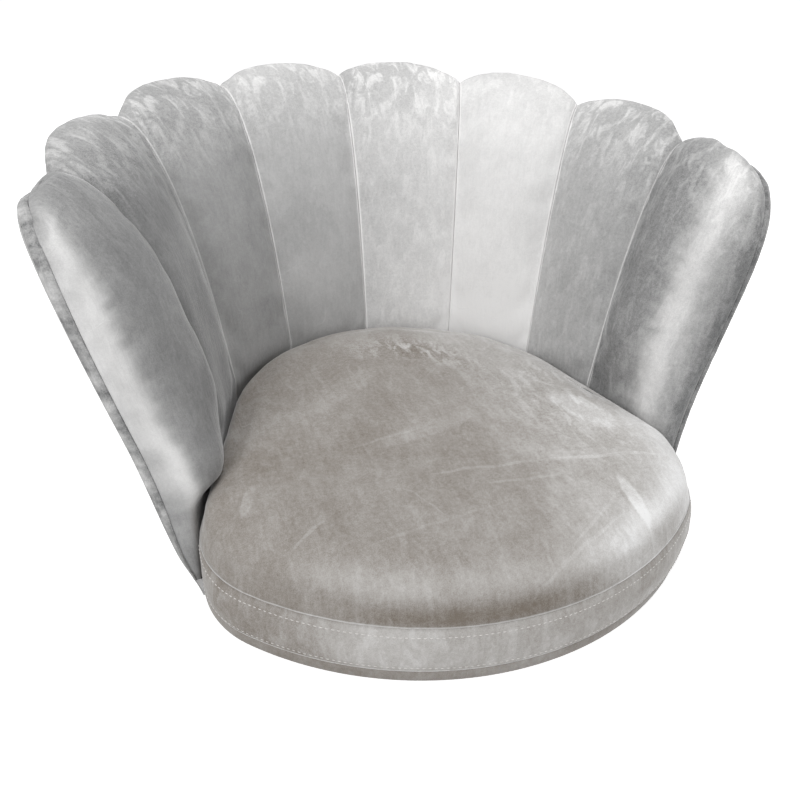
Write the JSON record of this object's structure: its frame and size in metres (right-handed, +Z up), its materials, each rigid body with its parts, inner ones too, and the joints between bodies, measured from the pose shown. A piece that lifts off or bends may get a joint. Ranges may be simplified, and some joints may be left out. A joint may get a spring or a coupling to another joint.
{
  "type": "upholstered tub chair body",
  "caption": "Scallop-backed upholstered tub chair body with fanned channel pads, a tight crowned seat and a flat underside for screw-on legs.",
  "frame": {"origin": "on the flat underside, below the centre of the seat's round back", "axes": "+Z up, the chair faces -Y, +X towards the viewer's right"},
  "size_m": [0.8776, 0.8537, 0.4989],
  "materials": {
    "velvet": "crushed velvet, silver grey",
    "seat_velvet": "crushed velvet, warm grey",
    "foam": "open-cell foam",
    "wadding": "polyester wadding",
    "webbing": "woven elastic",
    "lining": "non-woven cloth",
    "plywood": "raw birch plywood",
    "zinc": "zinc plated",
    "steel": "black"
  },
  "bodies": {
    "root": {"base_board": "plywood", "back_rib_1": "plywood", "back_rib_2": "plywood", "back_rib_3": "plywood", "back_rib_4": "plywood", "back_rib_5": "plywood", "back_rib_6": "plywood", "back_rib_7": "plywood", "dust_cover": "lining", "leg_insert_1": "zinc", "leg_insert_2": "zinc", "leg_insert_3": "zinc", "leg_insert_4": "zinc", "front_strip": "velvet", "petal_cover_1": "velvet", "petal_cover_2": "velvet", "petal_cover_3": "velvet", "petal_cover_4": "velvet", "petal_cover_5": "velvet", "petal_cover_6": "velvet", "petal_cover_7": "velvet", "petal_cover_8": "velvet", "outer_panel_1": "velvet", "outer_panel_2": "velvet", "outer_panel_3": "velvet", "outer_panel_4": "velvet", "outer_panel_5": "velvet", "outer_panel_6": "velvet", "outer_panel_7": "velvet", "outer_panel_8": "velvet", "arm_boxing_left": "velvet", "arm_boxing_right": "velvet", "seat_band": "seat_velvet", "seat_cover": "seat_velvet", "back_webbing_1": "webbing", "back_webbing_2": "webbing", "back_webbing_3": "webbing", "rim_hoop": "steel", "petal_foam_1": "foam", "petal_foam_2": "foam", "petal_foam_3": "foam", "petal_foam_4": "foam", "petal_foam_5": "foam", "petal_foam_6": "foam", "petal_foam_7": "foam", "petal_foam_8": "foam", "seat_foam": "foam", "seat_wadding": "wadding"}
  },
  "joints": []
}
